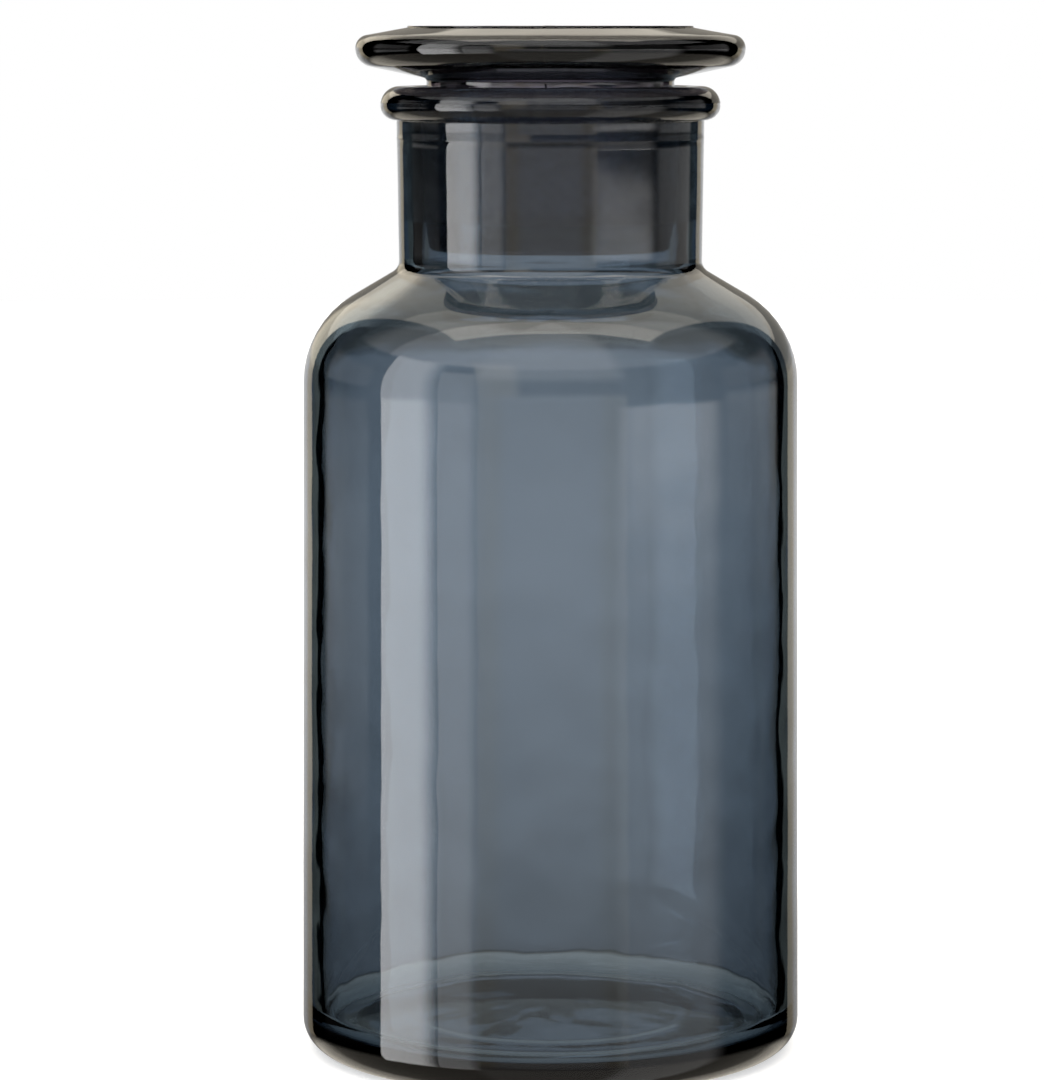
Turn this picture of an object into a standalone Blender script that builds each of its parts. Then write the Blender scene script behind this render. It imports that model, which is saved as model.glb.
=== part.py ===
"""Apothecary jar: a wide-necked cylindrical glass jar closed by a hollow glass stopper.

Units are metres and +Z is up. The origin is the centre of the foot ring, on the shelf.
The jar and its stopper are both turned shapes, so each is one profile swept round the Z axis.
A profile point is (radius, height), and a profile runs down the outer side of its glass.
"""

import math

import bpy

MM = 0.001

TOTAL_HEIGHT = 250.0 * MM

# Body
BODY_RADIUS = 60.7 * MM
BODY_WALL = 5.0 * MM
SHOULDER_START = 162.8 * MM
SHOULDER_ROUND = 24.3 * MM
SHOULDER_SLOPE = math.radians(30.6)

# Foot: a flat ring to stand on, round a hollow with a stepped panel in its middle
HEEL_ROUND = 7.4 * MM
FOOT_INNER_RADIUS = 46.5 * MM
HOLLOW_RADIUS = 44.0 * MM
HOLLOW_HEIGHT = 1.6 * MM
PANEL_RADIUS = 33.7 * MM
PANEL_EDGE = 2.7 * MM
PANEL_STEP = 0.6 * MM
PANEL_CENTRE = 5.2 * MM

# Floor inside the jar, higher in the middle
FLOOR_EDGE = 7.2 * MM
FLOOR_CENTRE = 12.4 * MM
FLOOR_ROUND = 5.0 * MM

# Neck and its rolled lip
NECK_BASE_RADIUS = 37.2 * MM
NECK_TOP_RADIUS = 37.85 * MM
NECK_TOP = 226.9 * MM
NECK_FILLET = 3.4 * MM
LIP_RADIUS = 41.8 * MM
LIP_TOP = 235.2 * MM
LIP_TOP_ROUND = 4.6 * MM
LIP_UNDER_ROUND = 3.6 * MM
MOUTH_ROUND = 2.0 * MM
BORE_FILLET = 8.5 * MM

# The seat: the plug and the bore are matching cones, with a clearance all round the plug
SEAT_TOP = 233.3 * MM
SEAT_BOTTOM = 203.0 * MM
SEAT_RADIUS = 32.1 * MM
SEAT_TAPER = 0.03  # radius lost per unit of depth
SEAT_CLEARANCE = 0.3 * MM

# Stopper head: a disc with a raised flat and a rounded rim, on a short waist
HEAD_RADIUS = 48.0 * MM
HEAD_FLAT_RADIUS = 35.2 * MM
HEAD_FLAT_STEP = 0.4 * MM
RIM_TOP = 247.3 * MM
RIM_BOTTOM = 240.8 * MM
RIM_TOP_ROUND = 3.3 * MM
RIM_BOTTOM_ROUND = 4.5 * MM
WAIST_RADIUS = 30.5 * MM
WAIST_TOP = 237.1 * MM
WAIST_FILLET = 1.0 * MM

# Stopper plug, hollow and open at its lower end
PLUG_BOTTOM = 195.0 * MM
PLUG_BOTTOM_RADIUS = 29.4 * MM
PLUG_SHOULDER_ROUND = 15.0 * MM
PLUG_END_ROUND = 1.5 * MM
CAVITY_BOTTOM_RADIUS = 26.0 * MM
CAVITY_TOP_RADIUS = 25.4 * MM
CAVITY_ROUND = 2.5 * MM
CAVITY_EDGE = 239.4 * MM
CAVITY_CENTRE = 241.0 * MM

# How finely the round shapes are faceted
TURN_STEPS = 64
ARC_STEP = math.radians(23)
DOME_STEPS = 3
WELD_DISTANCE = 0.00001

# Smoke-blue glass
JAR_COLOUR = (0.105, 0.155, 0.215)
STOPPER_COLOUR = (0.085, 0.095, 0.105)
GLASS_ROUGHNESS = 0.03
GLASS_IOR = 1.52


def clear_scene():
    for item in list(bpy.data.objects):
        bpy.data.objects.remove(item)


def glass(name, colour):
    material = bpy.data.materials.new(name)
    material.use_nodes = True
    shader = material.node_tree.nodes["Principled BSDF"]
    shader.inputs["Base Color"].default_value = (*colour, 1.0)
    shader.inputs["Roughness"].default_value = GLASS_ROUGHNESS
    shader.inputs["Metallic"].default_value = 0.0
    shader.inputs["IOR"].default_value = GLASS_IOR
    shader.inputs["Transmission Weight"].default_value = 1.0
    return material


def arc(before, corner, after, radius):
    """The arc that rounds a corner, touching the lines to the points before and after it."""
    into = math.atan2(corner[1] - before[1], corner[0] - before[0])
    out = math.atan2(after[1] - corner[1], after[0] - corner[0])
    turn = math.remainder(out - into, math.tau)
    reach = radius * math.tan(abs(turn) / 2)
    across = into + math.copysign(math.pi / 2, turn)
    centre_x = corner[0] - reach * math.cos(into) + radius * math.cos(across)
    centre_y = corner[1] - reach * math.sin(into) + radius * math.sin(across)
    steps = max(2, math.ceil(abs(turn) / ARC_STEP))
    angles = [across + math.pi + turn * step / steps for step in range(steps + 1)]
    return [(centre_x + radius * math.cos(angle), centre_y + radius * math.sin(angle)) for angle in angles]


def path(corners):
    """Straight lines through corners (radius, height), rounded where a corner has a third value."""
    points = [corners[0][:2]]
    for before, corner, after in zip(corners, corners[1:], corners[2:]):
        points += arc(before[:2], corner[:2], after[:2], corner[2]) if len(corner) == 3 else [corner]
    return points + [corners[-1][:2]]


def dome(edge_radius, edge_height, centre_height):
    """A spherical cap from its centre on the axis out to its edge."""
    rise = centre_height - edge_height
    sphere = (edge_radius**2 + rise**2) / (2 * rise)
    radii = [edge_radius * step / DOME_STEPS for step in range(DOME_STEPS + 1)]
    return [(radius, centre_height - sphere + math.sqrt(sphere**2 - radius**2)) for radius in radii]


def turned(name, profile, material, origin_height):
    """A solid of revolution about Z, with its origin on the axis at origin_height."""
    points = [(radius, 0.0, height - origin_height) for radius, height in profile]
    edges = [(index, index + 1) for index in range(len(points) - 1)]
    mesh = bpy.data.meshes.new(name)
    mesh.from_pydata(points, edges, [])
    mesh.materials.append(material)
    solid = bpy.data.objects.new(name, mesh)
    solid.location.z = origin_height
    bpy.context.scene.collection.objects.link(solid)
    screw = solid.modifiers.new("turn", "SCREW")
    screw.steps = TURN_STEPS
    screw.render_steps = TURN_STEPS
    screw.use_merge_vertices = True
    screw.merge_threshold = WELD_DISTANCE
    screw.use_smooth_shade = True


def seat_radius(height):
    """The plug's radius on the cone it shares with the bore."""
    return SEAT_RADIUS - SEAT_TAPER * (SEAT_TOP - height)


def shoulder_corner():
    """The height where the wall and the sloping shoulder would meet if they weren't rounded."""
    return SHOULDER_START + SHOULDER_ROUND * math.tan((math.pi / 2 - SHOULDER_SLOPE) / 2)


def jar_inside():
    """From the middle of the floor, up the wall, in under the shoulder and up the bore to the lip."""
    slope = math.tan(SHOULDER_SLOPE)
    wall_radius = BODY_RADIUS - BODY_WALL
    # The shoulder's inner and outer faces are parallel, one wall apart.
    wall_corner = shoulder_corner() - BODY_WALL / math.cos(SHOULDER_SLOPE) + BODY_WALL * slope
    # The shoulder's inner face meets the bore's cone at this height.
    bore_radius_at_origin = seat_radius(0.0) + SEAT_CLEARANCE
    bore_corner = (wall_corner + (wall_radius - bore_radius_at_origin) * slope) / (1 + SEAT_TAPER * slope)
    floor = dome(wall_radius - FLOOR_ROUND, FLOOR_EDGE, FLOOR_CENTRE)
    # The floor carries on along its last facet to the wall, and the corner between them is rounded.
    floor_fall = (floor[-2][1] - floor[-1][1]) / (floor[-1][0] - floor[-2][0])
    wall = path([
        floor[-1],
        (wall_radius, FLOOR_EDGE - floor_fall * FLOOR_ROUND, FLOOR_ROUND),
        (wall_radius, wall_corner, SHOULDER_ROUND - BODY_WALL),
        (seat_radius(bore_corner) + SEAT_CLEARANCE, bore_corner, BORE_FILLET),
        (seat_radius(LIP_TOP) + SEAT_CLEARANCE, LIP_TOP, MOUTH_ROUND),
        (LIP_RADIUS - LIP_TOP_ROUND, LIP_TOP),
    ])
    return floor[:-1] + wall[1:-1]


def jar_outside():
    """From the lip down the neck, shoulder and wall, round the heel and in to the hollow's middle."""
    neck_corner = shoulder_corner() + (BODY_RADIUS - NECK_BASE_RADIUS) * math.tan(SHOULDER_SLOPE)
    wall = path([
        (LIP_RADIUS - LIP_TOP_ROUND * 2, LIP_TOP),
        (LIP_RADIUS, LIP_TOP, LIP_TOP_ROUND),
        (LIP_RADIUS, NECK_TOP, LIP_UNDER_ROUND),
        (NECK_TOP_RADIUS, NECK_TOP),
        (NECK_BASE_RADIUS, neck_corner, NECK_FILLET),
        (BODY_RADIUS, shoulder_corner(), SHOULDER_ROUND),
        (BODY_RADIUS, 0.0, HEEL_ROUND),
        (FOOT_INNER_RADIUS, 0.0),
        (HOLLOW_RADIUS, HOLLOW_HEIGHT),
        (PANEL_RADIUS, PANEL_EDGE),
    ])
    panel = dome(PANEL_RADIUS - PANEL_STEP, PANEL_EDGE + PANEL_STEP, PANEL_CENTRE)
    return wall[1:] + panel[::-1]


def stopper_profile():
    """From the middle of the head, down the outside of the plug and back up inside its cavity."""
    outside = path([
        (0.0, TOTAL_HEIGHT),
        (HEAD_FLAT_RADIUS, TOTAL_HEIGHT),
        (HEAD_FLAT_RADIUS, TOTAL_HEIGHT - HEAD_FLAT_STEP),
        (HEAD_RADIUS, RIM_TOP, RIM_TOP_ROUND),
        (HEAD_RADIUS, RIM_BOTTOM, RIM_BOTTOM_ROUND),
        (WAIST_RADIUS, WAIST_TOP, WAIST_FILLET),
        (WAIST_RADIUS, SEAT_TOP + SEAT_RADIUS - WAIST_RADIUS),
        (SEAT_RADIUS, SEAT_TOP),
        (seat_radius(SEAT_BOTTOM), SEAT_BOTTOM, PLUG_SHOULDER_ROUND),
        (PLUG_BOTTOM_RADIUS, PLUG_BOTTOM, PLUG_END_ROUND),
        (CAVITY_BOTTOM_RADIUS, PLUG_BOTTOM, PLUG_END_ROUND),
        (CAVITY_TOP_RADIUS, CAVITY_EDGE, CAVITY_ROUND),
        (0.0, CAVITY_EDGE),
    ])
    ceiling = dome(CAVITY_TOP_RADIUS - CAVITY_ROUND, CAVITY_EDGE, CAVITY_CENTRE)
    return outside[:-2] + ceiling[::-1]


clear_scene()
turned("jar_body", jar_inside() + jar_outside(), glass("jar_glass", JAR_COLOUR), 0.0)
turned("stopper", stopper_profile(), glass("stopper_glass", STOPPER_COLOUR), LIP_TOP)
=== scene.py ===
"""The apothecary jar in smoke-blue glass, closed by its stopper, in a plain white studio.

Both pieces are turned glass, so each is one profile swept round Z, as in the CAD, with finer steps, the
ripples that moulded glass has and its mould seams. A profile point is (radius, height) in metres.
"""

import math

import bpy
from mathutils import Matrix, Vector, noise


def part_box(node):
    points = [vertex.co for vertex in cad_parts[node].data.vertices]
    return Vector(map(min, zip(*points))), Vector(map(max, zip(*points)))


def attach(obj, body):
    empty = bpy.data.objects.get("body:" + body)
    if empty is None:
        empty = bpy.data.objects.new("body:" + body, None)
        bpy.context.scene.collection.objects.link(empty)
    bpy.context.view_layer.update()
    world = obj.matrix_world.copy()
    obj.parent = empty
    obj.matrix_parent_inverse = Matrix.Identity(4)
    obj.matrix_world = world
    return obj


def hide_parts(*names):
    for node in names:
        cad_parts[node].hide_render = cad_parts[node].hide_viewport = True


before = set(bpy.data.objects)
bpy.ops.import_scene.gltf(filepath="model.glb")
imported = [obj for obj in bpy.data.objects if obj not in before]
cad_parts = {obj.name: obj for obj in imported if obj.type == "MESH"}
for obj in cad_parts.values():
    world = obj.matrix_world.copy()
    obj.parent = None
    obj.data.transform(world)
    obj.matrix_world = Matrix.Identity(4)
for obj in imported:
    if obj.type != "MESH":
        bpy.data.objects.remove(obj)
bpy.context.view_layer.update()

MM = 0.001
JAR_LOW, JAR_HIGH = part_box("jar_body")
STOPPER_LOW, STOPPER_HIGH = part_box("stopper")

# Sizes that the frame gives
BODY_RADIUS = JAR_HIGH.x
LIP_TOP = JAR_HIGH.z
HEAD_RADIUS = STOPPER_HIGH.x
TOTAL_HEIGHT = STOPPER_HIGH.z
PLUG_BOTTOM = STOPPER_LOW.z

# Body
BODY_WALL = 5.0 * MM
SHOULDER_START = 162.8 * MM
SHOULDER_ROUND = 24.3 * MM
SHOULDER_SLOPE = math.radians(30.6)

# Foot and floor
HEEL_ROUND = 7.4 * MM
FOOT_INNER_RADIUS = 46.5 * MM
FOOT_EDGE_ROUND = 0.8 * MM
HOLLOW_RADIUS = 44.0 * MM
HOLLOW_HEIGHT = 1.6 * MM
HOLLOW_ROUND = 3.0 * MM
PANEL_RADIUS = 33.7 * MM
PANEL_EDGE = 2.7 * MM
PANEL_STEP = 0.6 * MM
PANEL_STEP_ROUND = 0.3 * MM
PANEL_CENTRE = 5.2 * MM
FLOOR_EDGE = 7.2 * MM
FLOOR_CENTRE = 12.4 * MM
FLOOR_ROUND = 5.0 * MM

# Neck and lip
NECK_BASE_RADIUS = 37.2 * MM
NECK_TOP_RADIUS = 37.85 * MM
NECK_TOP = 226.9 * MM
NECK_FILLET = 3.4 * MM
LIP_RADIUS = 41.8 * MM
LIP_TOP_ROUND = 4.6 * MM
LIP_UNDER_ROUND = 3.6 * MM
LIP_NECK_ROUND = 0.3 * MM
MOUTH_ROUND = 2.0 * MM
BORE_FILLET = 8.5 * MM

# The seat the plug and the bore share
SEAT_TOP = 233.3 * MM
SEAT_BOTTOM = 203.0 * MM
SEAT_RADIUS = 32.1 * MM
SEAT_TAPER = 0.03
SEAT_CLEARANCE = 0.3 * MM
SEAT_EDGE_ROUND = 0.4 * MM
SEAT_INNER_ROUND = 0.2 * MM

# Stopper
HEAD_FLAT_RADIUS = 35.2 * MM
HEAD_FLAT_STEP = 0.4 * MM
HEAD_FLAT_ROUND = 0.15 * MM
RIM_TOP = 247.3 * MM
RIM_BOTTOM = 240.8 * MM
RIM_TOP_ROUND = 3.3 * MM
RIM_BOTTOM_ROUND = 4.5 * MM
WAIST_RADIUS = 30.5 * MM
WAIST_TOP = 237.1 * MM
WAIST_FILLET = 1.0 * MM
PLUG_BOTTOM_RADIUS = 29.4 * MM
PLUG_SHOULDER_ROUND = 15.0 * MM
PLUG_END_ROUND = 1.5 * MM
CAVITY_BOTTOM_RADIUS = 26.0 * MM
CAVITY_TOP_RADIUS = 25.4 * MM
CAVITY_ROUND = 2.5 * MM
CAVITY_EDGE = 239.4 * MM
CAVITY_CENTRE = 241.0 * MM

# Mould seams: fine ridges round the lip and the neck, and down the stopper's head front and back
SEAM_HEIGHT = 0.12 * MM
SEAM_HALF_WIDTH = 0.3 * MM
SEAM_MARGIN = 1.5  # how many half widths either side of an upright seam are kept clear of the even steps
LIP_SEAM = 231.2 * MM
NECK_SEAM = 222.4 * MM
HEAD_SEAM_ANGLES = (math.radians(-92.0), math.radians(88.0))

# Ripples in the surface: (how far it rises and falls, how long the ripples are)
OUTER_RIPPLES = ((0.04 * MM, 11.0 * MM), (0.006 * MM, 2.5 * MM))
INNER_RIPPLES = ((0.1 * MM, 14.0 * MM), (0.03 * MM, 4.0 * MM))
HEAD_RIPPLES = ((0.05 * MM, 9.0 * MM), (0.008 * MM, 2.5 * MM))
CAVITY_RIPPLES = ((0.1 * MM, 7.0 * MM), (0.05 * MM, 3.0 * MM))

# Surface finish. Noise lies between 0 and 1; its range is where it starts and ends to count.
HAZE_SIZE = 20.0 * MM
HAZE_DETAIL = 3.0
HAZE_RANGE = (0.45, 0.75)
CLEAN_ROUGHNESS = 0.0
HAZE_ROUGHNESS = 0.02
GRAIN_SIZE = 4.0 * MM
GRAIN_DETAIL = 4.0
GRAIN_RANGE = (0.3, 0.7)
WORN_ROUGHNESS = 0.15
GROUND_ROUGHNESS = 0.25
SEAT_EDGE_FADE = 1.5 * MM
FOOT_SCUFF_HEIGHT = 0.5 * MM
SCUFF_ROUGHNESS = 0.35
UNEVEN_SIZE = 2.5 * MM
UNEVEN_DETAIL = 2.0
UNEVEN_DEPTH = 0.002 * MM

# Colour of the glass: how much red, green and blue light it takes out, per metre
GLASS_IOR = 1.5
JAR_ABSORPTION = (195.0, 168.0, 144.0)
STOPPER_ABSORPTION = (180.0, 186.0, 164.0)
ABSORPTION_HEADROOM = 1.05  # keeps every channel of the volume's colour above black

# How finely the glass is faceted
TURN_STEPS = 256
ON_AXIS = 1e-9
ARC_STEP = math.radians(7.5)
LONGEST_EDGE = 2.2 * MM
DOME_STEPS = 12

# Light. Directions are in degrees, as Studio.measure_direction measures them, and a strength of 1 is plain
# white. A band is (from, to, soft margin before, soft margin after), a ramp (from, to, value before, value
# after), where the values are 0 and 1 unless given, and a lobe (middle, width).
WHITE = (1.0, 1.0, 1.0)
IVORY = (1.0, 0.93, 0.8)
CREAM = (1.0, 0.88, 0.66)

# White paper behind the jar and over it, and the cream rim that its left edge gives the glass
PAPER_SIDES = (-32.0, 34.0, 2.0, 2.0)
PAPER_CREAM = (20.0, 28.0)
PAPER_RIGHT = (16.0, 26.0, 1.0, 0.85)
PAPER_GLOW = (  # (middle above the line of sight, strength)
    (-9.0, 0.35),
    (-6.0, 0.3),
    (-3.0, 0.54),
    (0.0, 0.72),
    (3.0, 0.55),
    (6.0, 0.75),
)
PAPER_GLOW_WIDTH = 2.2
PAPER_BANDS = (  # (lowest pitch, highest pitch, strength)
    (2.5, 14.0, 0.33),
    (16.0, 32.0, 1.1),
    (34.0, 60.0, 0.95),
    (62.0, 88.0, 1.7),
    (90.0, 105.0, 3.0),
)
PAPER_BAND_SOFT = 2.0
RIM_SIDES = (-32.0, -18.0, 2.0, 6.0)
RIM_HEIGHTS = (3.0, 30.0, 4.0, 8.0)
RIM_STRENGTH = 0.9

# The room's two sides: (where it is, the height of its brightest part above the line of sight, its strength)
ROOM_SIDES = (
    ((-85.0, -56.0, 5.0, 6.0), (-0.5, 3.0), 0.5),
    ((54.0, 88.0, 6.0, 8.0), (3.0, 3.0), 0.6),
)
ROOM_HIGH = (3.0, 14.0, 3.0, 6.0)
ROOM_HIGH_STRENGTH = 0.25

# The table, the room behind the camera, and the ceiling, which is brighter above the key strip
TABLE_HEIGHTS = (-24.0, -16.0, 1.0, 0.0)
TABLE_SPREAD = (42.0, 58.0, 1.0, 0.35)
FRONT_SPREAD = (140.0, 150.0)
FRONT_HEIGHTS = (12.0, 24.0, 0.16, 1.1)
CEILING_HEIGHTS = (31.0, 70.0, 3.0, 10.0)
CEILING_SPREAD = (58.0, 75.0, 0.0, 0.7)
CEILING_KEY = (-140.0, -90.0, 10.0, 2.0)
CEILING_KEY_STRENGTH = 0.8

# A pale card on the right, below the height of the neck, brightest near its top
CARD_SIDES = (104.0, 140.0, 14.0, 12.0)
CARD_HEIGHTS = (2.2, 4.0, 1.0, 0.15)
CARD_STRENGTH = 0.75
CARD_GLOW = (1.6, 1.5)
CARD_GLOW_STRENGTH = 1.3

# The key strip, and a fainter one beside it
STRIPS = (  # (from, to, soft margin before, top, strength)
    (-116.0, -96.0, 13.0, 28.0, 5.6),
    (-140.0, -127.5, 9.0, 20.0, 1.8),
)
STRIP_SHARP_EDGE = 1.0
STRIP_BOTTOM = -22.0
STRIP_END_SOFT = 4.0
STRIP_FALL = (-4.0, -1.5, 1.0, 0.65)

# The camera: level with the stopper, with its lens shifted down to take in the jar
CAMERA_DISTANCE = 1.089
EYE_HEIGHT = 0.249
FRAME_HEIGHT = 0.26574  # how much of the jar's own plane the picture's long side takes in
AXIS_OFFSET = 0.00664  # the jar's axis is this far right of the picture's centre
PICTURE_CENTRE = 0.1235  # height on the axis that the middle of the picture looks at
SENSOR = 36.0
NEAREST_SEEN = 0.01
FARTHEST_SEEN = 100.0
SAME_PLACE = 0.0001

# The table top that the jar stands on
TABLE_TOP_RADIUS = 3.0
TABLE_TOP_CORNERS = 64
TABLE_TOP_COLOUR = (0.8, 0.8, 0.8)
TABLE_TOP_ROUGHNESS = 0.9
TABLE_TOP_BOUNCED_LIGHT = 0.6

LIGHT_BOUNCES = 32  # light crosses up to eight glass surfaces, and is reflected between them


def arc(before, corner, after, radius):
    """The arc that rounds a corner, touching the lines to the points before and after it."""
    into = math.atan2(corner[1] - before[1], corner[0] - before[0])
    out = math.atan2(after[1] - corner[1], after[0] - corner[0])
    turn = math.remainder(out - into, math.tau)
    reach = radius * math.tan(abs(turn) / 2)
    across = into + math.copysign(math.pi / 2, turn)
    centre_x = corner[0] - reach * math.cos(into) + radius * math.cos(across)
    centre_y = corner[1] - reach * math.sin(into) + radius * math.sin(across)
    steps = max(2, math.ceil(abs(turn) / ARC_STEP))
    angles = [across + math.pi + turn * step / steps for step in range(steps + 1)]
    return [(centre_x + radius * math.cos(angle), centre_y + radius * math.sin(angle)) for angle in angles]


def path(corners):
    """Straight lines through corners (radius, height), rounded where a corner has a third value."""
    points = [corners[0][:2]]
    for before, corner, after in zip(corners, corners[1:], corners[2:]):
        points += arc(before[:2], corner[:2], after[:2], corner[2]) if len(corner) == 3 else [corner]
    return points + [corners[-1][:2]]


def dome(edge_radius, edge_height, centre_height):
    """A spherical cap from its centre on the axis out to its edge."""
    rise = centre_height - edge_height
    sphere = (edge_radius**2 + rise**2) / (2 * rise)
    radii = [edge_radius * step / DOME_STEPS for step in range(DOME_STEPS + 1)]
    return [(radius, centre_height - sphere + math.sqrt(sphere**2 - radius**2)) for radius in radii]


def divided(points):
    """The same line with its long edges split, so that ripples have vertices to move."""
    fine = [points[0]]
    for start, end in zip(points, points[1:]):
        pieces = max(1, math.ceil(math.dist(start, end) / LONGEST_EDGE))
        for piece in range(1, pieces + 1):
            share = piece / pieces
            fine.append(tuple(a + (b - a) * share for a, b in zip(start, end)))
    return fine


def seat_radius(height):
    return SEAT_RADIUS - SEAT_TAPER * (SEAT_TOP - height)


def shoulder_corner():
    return SHOULDER_START + SHOULDER_ROUND * math.tan((math.pi / 2 - SHOULDER_SLOPE) / 2)


def jar_inside():
    slope = math.tan(SHOULDER_SLOPE)
    wall_radius = BODY_RADIUS - BODY_WALL
    wall_corner = shoulder_corner() - BODY_WALL / math.cos(SHOULDER_SLOPE) + BODY_WALL * slope
    bore_radius_at_origin = seat_radius(0.0) + SEAT_CLEARANCE
    bore_corner = (wall_corner + (wall_radius - bore_radius_at_origin) * slope) / (1 + SEAT_TAPER * slope)
    floor = dome(wall_radius - FLOOR_ROUND, FLOOR_EDGE, FLOOR_CENTRE)
    floor_fall = (floor[-2][1] - floor[-1][1]) / (floor[-1][0] - floor[-2][0])
    wall = path([
        floor[-1],
        (wall_radius, FLOOR_EDGE - floor_fall * FLOOR_ROUND, FLOOR_ROUND),
        (wall_radius, wall_corner, SHOULDER_ROUND - BODY_WALL),
        (seat_radius(bore_corner) + SEAT_CLEARANCE, bore_corner, BORE_FILLET),
        (seat_radius(LIP_TOP) + SEAT_CLEARANCE, LIP_TOP, MOUTH_ROUND),
        (LIP_RADIUS - LIP_TOP_ROUND, LIP_TOP),
    ])
    return floor[:-1] + wall[1:-1]


def jar_outside():
    neck_corner = shoulder_corner() + (BODY_RADIUS - NECK_BASE_RADIUS) * math.tan(SHOULDER_SLOPE)
    wall = path([
        (LIP_RADIUS - LIP_TOP_ROUND * 2, LIP_TOP),
        (LIP_RADIUS, LIP_TOP, LIP_TOP_ROUND),
        (LIP_RADIUS, NECK_TOP, LIP_UNDER_ROUND),
        (NECK_TOP_RADIUS, NECK_TOP, LIP_NECK_ROUND),
        (NECK_BASE_RADIUS, neck_corner, NECK_FILLET),
        (BODY_RADIUS, shoulder_corner(), SHOULDER_ROUND),
        (BODY_RADIUS, 0.0, HEEL_ROUND),
        (FOOT_INNER_RADIUS, 0.0, FOOT_EDGE_ROUND),
        (HOLLOW_RADIUS, HOLLOW_HEIGHT, HOLLOW_ROUND),
        (PANEL_RADIUS, PANEL_EDGE, PANEL_STEP_ROUND),
        (PANEL_RADIUS - PANEL_STEP, PANEL_EDGE + PANEL_STEP),
    ])
    panel = dome(PANEL_RADIUS - PANEL_STEP, PANEL_EDGE + PANEL_STEP, PANEL_CENTRE)
    return wall[1:-1] + panel[::-1]


def stopper_profile():
    """The head from its middle to its waist, the outside of the plug, and the cavity up to its middle."""
    waist = (WAIST_RADIUS, (WAIST_TOP + SEAT_TOP) / 2)
    plug_end = ((PLUG_BOTTOM_RADIUS + CAVITY_BOTTOM_RADIUS) / 2, PLUG_BOTTOM)
    head = path([
        (0.0, TOTAL_HEIGHT),
        (HEAD_FLAT_RADIUS, TOTAL_HEIGHT, HEAD_FLAT_ROUND),
        (HEAD_FLAT_RADIUS, TOTAL_HEIGHT - HEAD_FLAT_STEP, HEAD_FLAT_ROUND),
        (HEAD_RADIUS, RIM_TOP, RIM_TOP_ROUND),
        (HEAD_RADIUS, RIM_BOTTOM, RIM_BOTTOM_ROUND),
        (WAIST_RADIUS, WAIST_TOP, WAIST_FILLET),
        waist,
    ])
    plug = path([
        waist,
        (WAIST_RADIUS, SEAT_TOP + SEAT_RADIUS - WAIST_RADIUS, SEAT_INNER_ROUND),
        (SEAT_RADIUS, SEAT_TOP, SEAT_EDGE_ROUND),
        (seat_radius(SEAT_BOTTOM), SEAT_BOTTOM, PLUG_SHOULDER_ROUND),
        (PLUG_BOTTOM_RADIUS, PLUG_BOTTOM, PLUG_END_ROUND),
        plug_end,
    ])
    cavity = path([
        plug_end,
        (CAVITY_BOTTOM_RADIUS, PLUG_BOTTOM, PLUG_END_ROUND),
        (CAVITY_TOP_RADIUS, CAVITY_EDGE, CAVITY_ROUND),
        (0.0, CAVITY_EDGE),
    ])
    ceiling = dome(CAVITY_TOP_RADIUS - CAVITY_ROUND, CAVITY_EDGE, CAVITY_CENTRE)
    return head, plug[1:], cavity[1:-2] + ceiling[::-1]


def ridged(points, height):
    """A falling line with a fine mould seam standing out of it at one height."""
    above = [point for point in points if point[1] > height + SEAM_HALF_WIDTH]
    below = [point for point in points if point[1] < height - SEAM_HALF_WIDTH]
    upper, lower = above[-1], below[0]
    seam = []
    for offset, rise in ((SEAM_HALF_WIDTH, 0.0), (0.0, SEAM_HEIGHT), (-SEAM_HALF_WIDTH, 0.0)):
        share = (upper[1] - height - offset) / (upper[1] - lower[1])
        seam.append((upper[0] + (lower[0] - upper[0]) * share + rise, height + offset))
    return above + seam + below


def outward(profile):
    """The outward normal of the profile at each of its points."""
    normals = []
    for before, after in zip([profile[0], *profile], [*profile[1:], profile[-1]]):
        run, rise = after[0] - before[0], after[1] - before[1]
        length = math.hypot(run, rise)
        normals.append((-rise / length, run / length))
    return normals


def rippled(radius, height, angle, ripples):
    """How far the surface stands out at a point because of its ripples."""
    point = Vector((radius * math.cos(angle), radius * math.sin(angle), height))
    return sum(rise * noise.noise(point / length) for rise, length in ripples)


def turn_angles(seam_angles):
    """Even steps round the axis, with three finer ones across each upright seam."""
    angles = [math.tau * step / TURN_STEPS for step in range(TURN_STEPS)]
    half = SEAM_HALF_WIDTH / HEAD_RADIUS
    for seam in seam_angles:
        middle = seam % math.tau
        angles = [angle for angle in angles if abs(angle - middle) > half * SEAM_MARGIN]
        angles += [middle - half, middle, middle + half]
    return sorted(angles)


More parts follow.
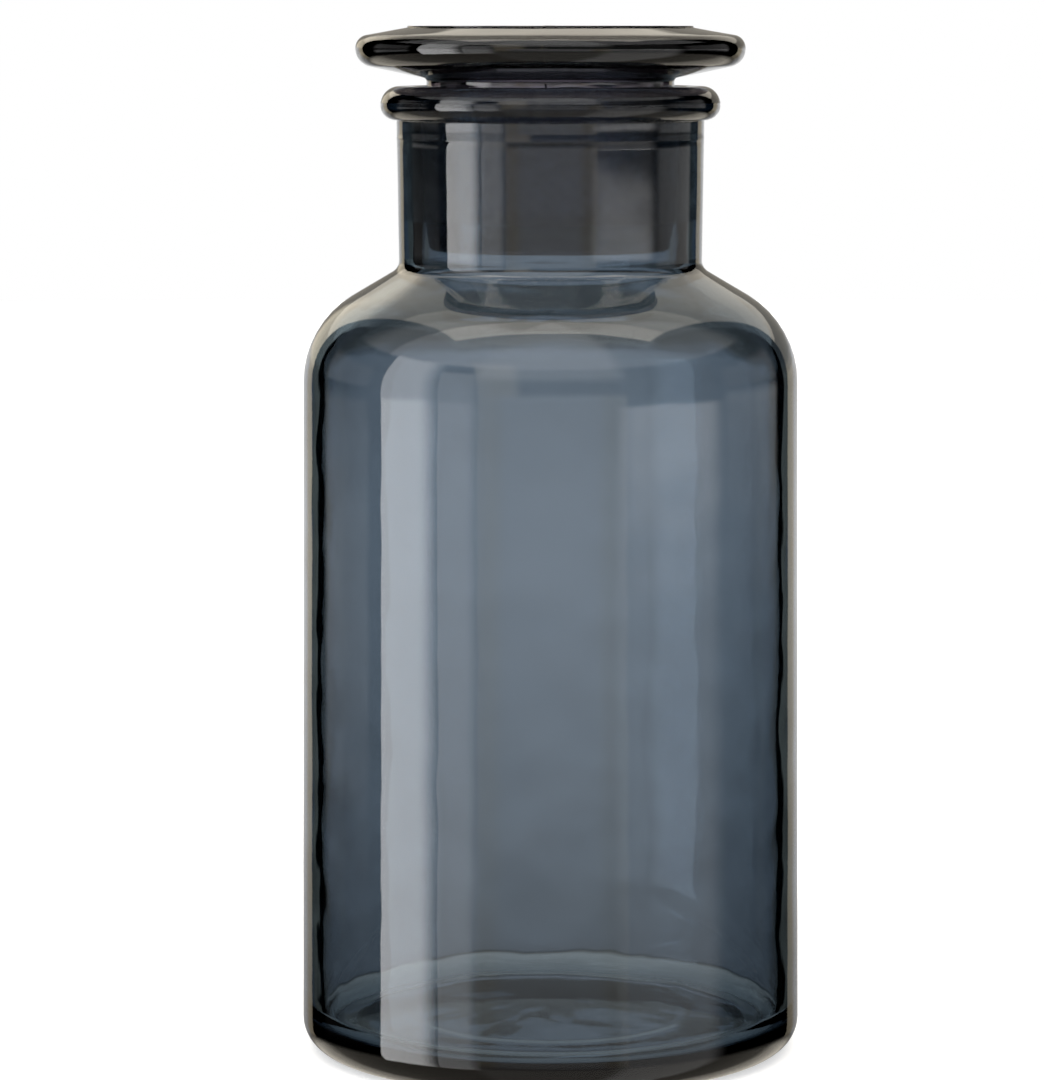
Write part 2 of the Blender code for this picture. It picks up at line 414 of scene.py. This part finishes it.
def turned(name, parts, seam_angles=()):
    """A closed solid of revolution about Z, from (profile, ripples) parts that follow one another."""
    profile = [point for points, ripples in parts for point in points]
    ripple_rows = [ripples for points, ripples in parts for point in points]
    angles = turn_angles(seam_angles)
    crests = [seam % math.tau for seam in seam_angles]
    vertices = []
    rows = []
    for (radius, height), (out, up), ripples in zip(profile, outward(profile), ripple_rows):
        if radius < ON_AXIS:
            rows.append([len(vertices)] * len(angles))
            vertices.append((0.0, 0.0, height))
            continue
        rows.append(range(len(vertices), len(vertices) + len(angles)))
        for angle in angles:
            stand = rippled(radius, height, angle, ripples)
            if angle in crests and ripples is HEAD_RIPPLES:
                stand += SEAM_HEIGHT
            reach = radius + out * stand
            vertices.append((reach * math.cos(angle), reach * math.sin(angle), height + up * stand))
    faces = []
    for upper, lower in zip(rows, rows[1:]):
        for step in range(len(angles)):
            after = (step + 1) % len(angles)
            corners = (upper[step], lower[step], lower[after], upper[after])
            faces.append(tuple(dict.fromkeys(corners)))
    mesh = bpy.data.meshes.new(name)
    mesh.from_pydata(vertices, [], faces)
    mesh.shade_smooth()
    solid = bpy.data.objects.new(name, mesh)
    bpy.context.scene.collection.objects.link(solid)
    return solid


def add_node(tree, kind, **settings):
    node = tree.nodes.new(kind)
    for name, value in settings.items():
        setattr(node, name, value)
    return node


def plug_in(tree, node, values):
    """Links or sets a node's inputs, by name or number."""
    for key, value in values.items():
        if isinstance(value, bpy.types.NodeSocket):
            tree.links.new(value, node.inputs[key])
        else:
            node.inputs[key].default_value = value


class Nodes:
    """Short ways to build a node tree; values are sockets or numbers."""

    def __init__(self, tree):
        self.tree = tree

    def node(self, kind, values, output=0, **settings):
        node = add_node(self.tree, kind, **settings)
        plug_in(self.tree, node, values)
        return node.outputs[output]

    def math(self, operation, *values):
        return self.node("ShaderNodeMath", dict(enumerate(values)), operation=operation)

    def product(self, first, *others):
        for other in others:
            first = self.math("MULTIPLY", first, other)
        return first

    def vector(self, operation, *values, output=0):
        return self.node("ShaderNodeVectorMath", dict(enumerate(values)), output, operation=operation)

    def ramp(self, value, low, high, start=0.0, end=1.0):
        """Eases from start to end as value goes from low to high."""
        settings = {"Value": value, "From Min": low, "From Max": high, "To Min": start, "To Max": end}
        return self.node("ShaderNodeMapRange", settings, interpolation_type="SMOOTHSTEP")

    def band(self, value, low, high, soft_low, soft_high):
        """1 from low to high, easing to 0 beyond them over the two soft margins."""
        rise = self.ramp(value, low - soft_low, low)
        fall = self.ramp(value, high, high + soft_high, 1.0, 0.0)
        return self.product(rise, fall)

    def lobe(self, value, middle, width):
        """A bell-shaped bump, 1 at its middle."""
        offset = self.math("DIVIDE", self.math("SUBTRACT", value, middle), width)
        return self.math("EXPONENT", self.math("MULTIPLY", self.math("POWER", offset, 2.0), -1.0))

    def noise(self, place, size, detail):
        """Noise around 0.5 whose blobs are about size across."""
        values = {"Vector": place, "Scale": 1.0 / size, "Detail": detail}
        return self.node("ShaderNodeTexNoise", values, "Fac")


def glass_roughness(nodes, place, radius, height, ground):
    """Clean and glossy, hazier in patches, matt on the ground seat and scuffed where the foot stands."""
    haze_noise = nodes.noise(place, HAZE_SIZE, HAZE_DETAIL)
    haze = nodes.ramp(haze_noise, *HAZE_RANGE, CLEAN_ROUGHNESS, HAZE_ROUGHNESS)
    grain_noise = nodes.noise(place, GRAIN_SIZE, GRAIN_DETAIL)
    grain = nodes.ramp(grain_noise, *GRAIN_RANGE, WORN_ROUGHNESS, GROUND_ROUGHNESS)
    seat = nodes.product(ground(nodes, radius, height), grain)
    foot = nodes.ramp(height, 0.0, FOOT_SCUFF_HEIGHT, SCUFF_ROUGHNESS, 0.0)
    return nodes.math("MAXIMUM", nodes.math("MAXIMUM", haze, seat), foot)


def glass(name, absorption, ground):
    """Clear glass whose colour comes from how far light travels in it.

    absorption is per metre, for red, green and blue; ground(nodes, radius, height) gives the share of the
    surface that is ground matt.
    """
    material = bpy.data.materials.new(name)
    material.use_nodes = True
    tree = material.node_tree
    nodes = Nodes(tree)
    place = nodes.node("ShaderNodeTexCoord", {}, "Object")
    radius = nodes.vector("LENGTH", nodes.vector("MULTIPLY", place, (1.0, 1.0, 0.0)), output="Value")
    height = nodes.node("ShaderNodeSeparateXYZ", {"Vector": place}, "Z")

    # Fine unevenness left by the mould
    uneven = nodes.noise(place, UNEVEN_SIZE, UNEVEN_DETAIL)
    bump = nodes.node("ShaderNodeBump", {"Height": uneven, "Strength": 1.0, "Distance": UNEVEN_DEPTH})
    plug_in(tree, tree.nodes["Principled BSDF"], {
        "Base Color": (1.0, 1.0, 1.0, 1.0),
        "Roughness": glass_roughness(nodes, place, radius, height, ground),
        "Normal": bump,
        "IOR": GLASS_IOR,
        "Transmission Weight": 1.0,
    })

    density = max(absorption) * ABSORPTION_HEADROOM
    volume = nodes.node("ShaderNodeVolumeAbsorption", {
        "Color": (*(1.0 - value / density for value in absorption), 1.0),
        "Density": density,
    })
    tree.links.new(volume, tree.nodes["Material Output"].inputs["Volume"])
    return material


def ground_bore(nodes, radius, height):
    """The jar's seat: the inside of its neck, between the ends of the seat."""
    inside = nodes.math("LESS_THAN", radius, (SEAT_RADIUS + NECK_BASE_RADIUS) / 2)
    return nodes.product(inside, nodes.band(height, SEAT_BOTTOM, SEAT_TOP, SEAT_EDGE_FADE, SEAT_EDGE_FADE))


def ground_plug(nodes, radius, height):
    """The stopper's seat: the outside of its plug, between the ends of the seat."""
    outside = nodes.math("GREATER_THAN", radius, (SEAT_RADIUS + CAVITY_BOTTOM_RADIUS) / 2)
    return nodes.product(outside, nodes.band(height, SEAT_BOTTOM, SEAT_TOP, SEAT_EDGE_FADE, SEAT_EDGE_FADE))


class Studio(Nodes):
    """World nodes for lights that stay with the camera as it goes round the jar."""

    def __init__(self):
        world = bpy.data.worlds.new("studio")
        bpy.context.scene.world = world
        world.use_nodes = True
        super().__init__(world.node_tree)
        self.tree.nodes.clear()
        self.paths = add_node(self.tree, "ShaderNodeLightPath")
        self.lights = []
        self.measure_direction()

    def measure_direction(self):
        """Each ray's direction in degrees.

        azimuth goes round Z from straight behind the jar, with the right positive. elevation is above level,
        and above_sight is above the line of sight to the jar's middle. side is to the right of the upright
        plane through the line of sight, and pitch turns in that plane from behind, up and over the jar.
        """
        direction = self.node("ShaderNodeTexCoord", {}, "Generated")
        eye = self.node(
            "ShaderNodeVectorTransform", {"Vector": (0.0, 0.0, 0.0)}, vector_type="POINT",
            convert_from="CAMERA", convert_to="WORLD",
        )
        sight = self.vector("NORMALIZE", self.vector("SUBTRACT", (0.0, 0.0, TOTAL_HEIGHT / 2), eye))
        level = self.vector("NORMALIZE", self.vector("MULTIPLY", sight, (1.0, 1.0, 0.0)))
        ahead = self.vector("DOT_PRODUCT", direction, level, output="Value")
        turned = self.vector("CROSS_PRODUCT", direction, level)
        right = self.vector("DOT_PRODUCT", turned, (0.0, 0.0, 1.0), output="Value")
        up = self.vector("DOT_PRODUCT", direction, (0.0, 0.0, 1.0), output="Value")
        sight_up = self.vector("DOT_PRODUCT", sight, (0.0, 0.0, 1.0), output="Value")
        self.azimuth = self.math("DEGREES", self.math("ARCTAN2", right, ahead))
        self.elevation = self.math("DEGREES", self.math("ARCSINE", up))
        sight_elevation = self.math("DEGREES", self.math("ARCSINE", sight_up))
        self.above_sight = self.math("SUBTRACT", self.elevation, sight_elevation)
        self.side = self.math("DEGREES", self.math("ARCSINE", right))
        self.pitch = self.math("DEGREES", self.math("ARCTAN2", up, ahead))

    def light(self, colour, strength):
        """Adds one light, whose strength may change with direction."""
        values = {"Color": (*colour, 1.0), "Strength": strength}
        self.lights.append(self.node("ShaderNodeBackground", values))

    def finish(self):
        """Adds the lights up, and gives the camera itself a plain white background."""
        total = self.lights[0]
        for light in self.lights[1:]:
            total = self.node("ShaderNodeAddShader", {0: total, 1: light})
        white = self.node("ShaderNodeBackground", {"Color": (1.0, 1.0, 1.0, 1.0), "Strength": 1.0})
        seen = self.node("ShaderNodeMixShader", {0: self.paths.outputs["Is Camera Ray"], 1: total, 2: white})
        plug_in(self.tree, add_node(self.tree, "ShaderNodeOutputWorld"), {"Surface": seen})


def build_world():
    """Sets up every light; the strips and the cream rim are seen only by rays that glass has reflected."""
    studio = Studio()
    reflected = studio.math("GREATER_THAN", studio.paths.outputs["Glossy Depth"], 0.5)
    light_backdrop(studio, reflected)
    light_room(studio)
    light_card(studio)
    light_strips(studio, reflected)
    studio.finish()


def light_backdrop(studio, reflected):
    """White paper that hangs behind the jar and runs on up over it, brightest overhead."""
    paper = studio.band(studio.side, *PAPER_SIDES)
    edge = studio.ramp(studio.math("ABSOLUTE", studio.side), *PAPER_CREAM)
    right = studio.ramp(studio.side, *PAPER_RIGHT)
    glow = 0.0
    for middle, strength in PAPER_GLOW:
        lobe = studio.lobe(studio.above_sight, middle, PAPER_GLOW_WIDTH)
        glow = studio.math("ADD", glow, studio.product(lobe, strength))
    studio.light(WHITE, studio.product(glow, paper, studio.math("SUBTRACT", 1.0, edge)))
    studio.light(CREAM, studio.product(glow, paper, edge, right))
    for low, high, strength in PAPER_BANDS:
        band = studio.band(studio.pitch, low, high, PAPER_BAND_SOFT, PAPER_BAND_SOFT)
        studio.light(IVORY, studio.product(band, paper, strength))
    rim = studio.band(studio.side, *RIM_SIDES)
    rim_height = studio.band(studio.elevation, *RIM_HEIGHTS)
    studio.light(CREAM, studio.product(rim, rim_height, reflected, RIM_STRENGTH))


def light_room(studio):
    """The dimmer room around: its two sides, the table, the room behind the camera, and the ceiling."""
    high = studio.product(studio.band(studio.elevation, *ROOM_HIGH), ROOM_HIGH_STRENGTH)
    for sides, middle, strength in ROOM_SIDES:
        wall = studio.band(studio.azimuth, *sides)
        low = studio.product(studio.lobe(studio.above_sight, *middle), strength)
        studio.light(WHITE, studio.product(wall, studio.math("ADD", low, high)))

    off_axis = studio.math("ABSOLUTE", studio.azimuth)
    table = studio.ramp(studio.elevation, *TABLE_HEIGHTS)
    studio.light(IVORY, studio.product(table, studio.ramp(off_axis, *TABLE_SPREAD)))
    front = studio.ramp(off_axis, *FRONT_SPREAD)
    studio.light(WHITE, studio.product(front, studio.ramp(studio.elevation, *FRONT_HEIGHTS)))

    ceiling = studio.band(studio.elevation, *CEILING_HEIGHTS)
    above_key = studio.product(studio.band(studio.azimuth, *CEILING_KEY), CEILING_KEY_STRENGTH)
    spread = studio.math("ADD", studio.ramp(off_axis, *CEILING_SPREAD), above_key)
    studio.light(WHITE, studio.product(ceiling, spread))


def light_card(studio):
    """A pale card on the right, below the height of the neck."""
    card = studio.band(studio.azimuth, *CARD_SIDES)
    below = studio.ramp(studio.above_sight, *CARD_HEIGHTS)
    glow = studio.product(studio.lobe(studio.above_sight, *CARD_GLOW), CARD_GLOW_STRENGTH)
    studio.light(WHITE, studio.product(card, below, studio.math("ADD", glow, CARD_STRENGTH)))


def light_strips(studio, reflected):
    """The key strip and a fainter one beside it, seen only as reflections."""
    fall = studio.ramp(studio.elevation, *STRIP_FALL)
    for left, right, soft, top, strength in STRIPS:
        strip = studio.band(studio.azimuth, left, right, soft, STRIP_SHARP_EDGE)
        height = studio.band(studio.elevation, STRIP_BOTTOM, top, STRIP_END_SOFT, STRIP_END_SOFT)
        studio.light(WHITE, studio.product(strip, height, fall, reflected, strength))


def build_camera():
    data = bpy.data.cameras.new("camera")
    camera = bpy.data.objects.new("camera", data)
    bpy.context.scene.collection.objects.link(camera)
    bpy.context.scene.camera = camera
    camera.location = (0.0, -CAMERA_DISTANCE, EYE_HEIGHT)
    camera.rotation_euler = (math.pi / 2, 0.0, 0.0)
    data.sensor_width = SENSOR
    data.lens = SENSOR * CAMERA_DISTANCE / FRAME_HEIGHT
    data.clip_start = NEAREST_SEEN
    data.clip_end = FARTHEST_SEEN
    shift_x = -AXIS_OFFSET / FRAME_HEIGHT
    shift_y = (PICTURE_CENTRE - EYE_HEIGHT) / FRAME_HEIGHT
    shift_only_here(camera, "shift_x", shift_x)
    shift_only_here(camera, "shift_y", shift_y)


def shift_only_here(camera, channel, shift):
    """Shifts the lens while the camera is at its own place, but not once the camera has been moved."""
    driver = camera.data.driver_add(channel).driver
    driver.type = "SCRIPTED"
    variable = driver.variables.new()
    variable.name = "y"
    variable.type = "TRANSFORMS"
    variable.targets[0].id = camera
    variable.targets[0].transform_type = "LOC_Y"
    driver.expression = f"{shift} if abs(y + {CAMERA_DISTANCE}) < {SAME_PLACE} else 0.0"


def build_floor():
    """A pale table top that glows a little, so the jar's shade stays faint; the glass doesn't show it."""
    bpy.ops.mesh.primitive_circle_add(vertices=TABLE_TOP_CORNERS, radius=TABLE_TOP_RADIUS, fill_type="NGON")
    floor = bpy.context.object
    floor.name = "floor"
    material = bpy.data.materials.new("floor")
    material.use_nodes = True
    tree = material.node_tree
    plug_in(tree, tree.nodes["Principled BSDF"], {
        "Base Color": (*TABLE_TOP_COLOUR, 1.0),
        "Roughness": TABLE_TOP_ROUGHNESS,
        "Specular IOR Level": 0.0,
        "Emission Color": (1.0, 1.0, 1.0, 1.0),
        "Emission Strength": TABLE_TOP_BOUNCED_LIGHT,
    })
    floor.data.materials.append(material)
    floor.visible_glossy = False
    floor.visible_transmission = False


def put_in_place(piece, material, node, body):
    """Gives a piece its material, and shows it in place of its CAD node, on that node's body."""
    piece.data.materials.append(material)
    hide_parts(node)
    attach(piece, body)


def build_jar():
    inside = divided(jar_inside())
    outside = ridged(ridged(divided(jar_outside()), LIP_SEAM), NECK_SEAM)
    jar = turned("jar_glass", [(inside, INNER_RIPPLES), (outside, OUTER_RIPPLES)])
    put_in_place(jar, glass("jar_glass", JAR_ABSORPTION, ground_bore), "jar_body", "jar")


def build_stopper():
    all_ripples = (HEAD_RIPPLES, OUTER_RIPPLES, CAVITY_RIPPLES)
    parts = [(divided(points), ripples) for points, ripples in zip(stopper_profile(), all_ripples)]
    stopper = turned("stopper_glass", parts, HEAD_SEAM_ANGLES)
    put_in_place(stopper, glass("stopper_glass", STOPPER_ABSORPTION, ground_plug), "stopper", "stopper")


def set_light_paths():
    scene = bpy.context.scene
    scene.view_settings.view_transform = "Standard"
    scene.cycles.max_bounces = LIGHT_BOUNCES
    scene.cycles.transmission_bounces = LIGHT_BOUNCES
    scene.cycles.glossy_bounces = LIGHT_BOUNCES
    scene.cycles.use_denoising = True


build_jar()
build_stopper()
build_floor()
build_world()
build_camera()
set_light_paths()
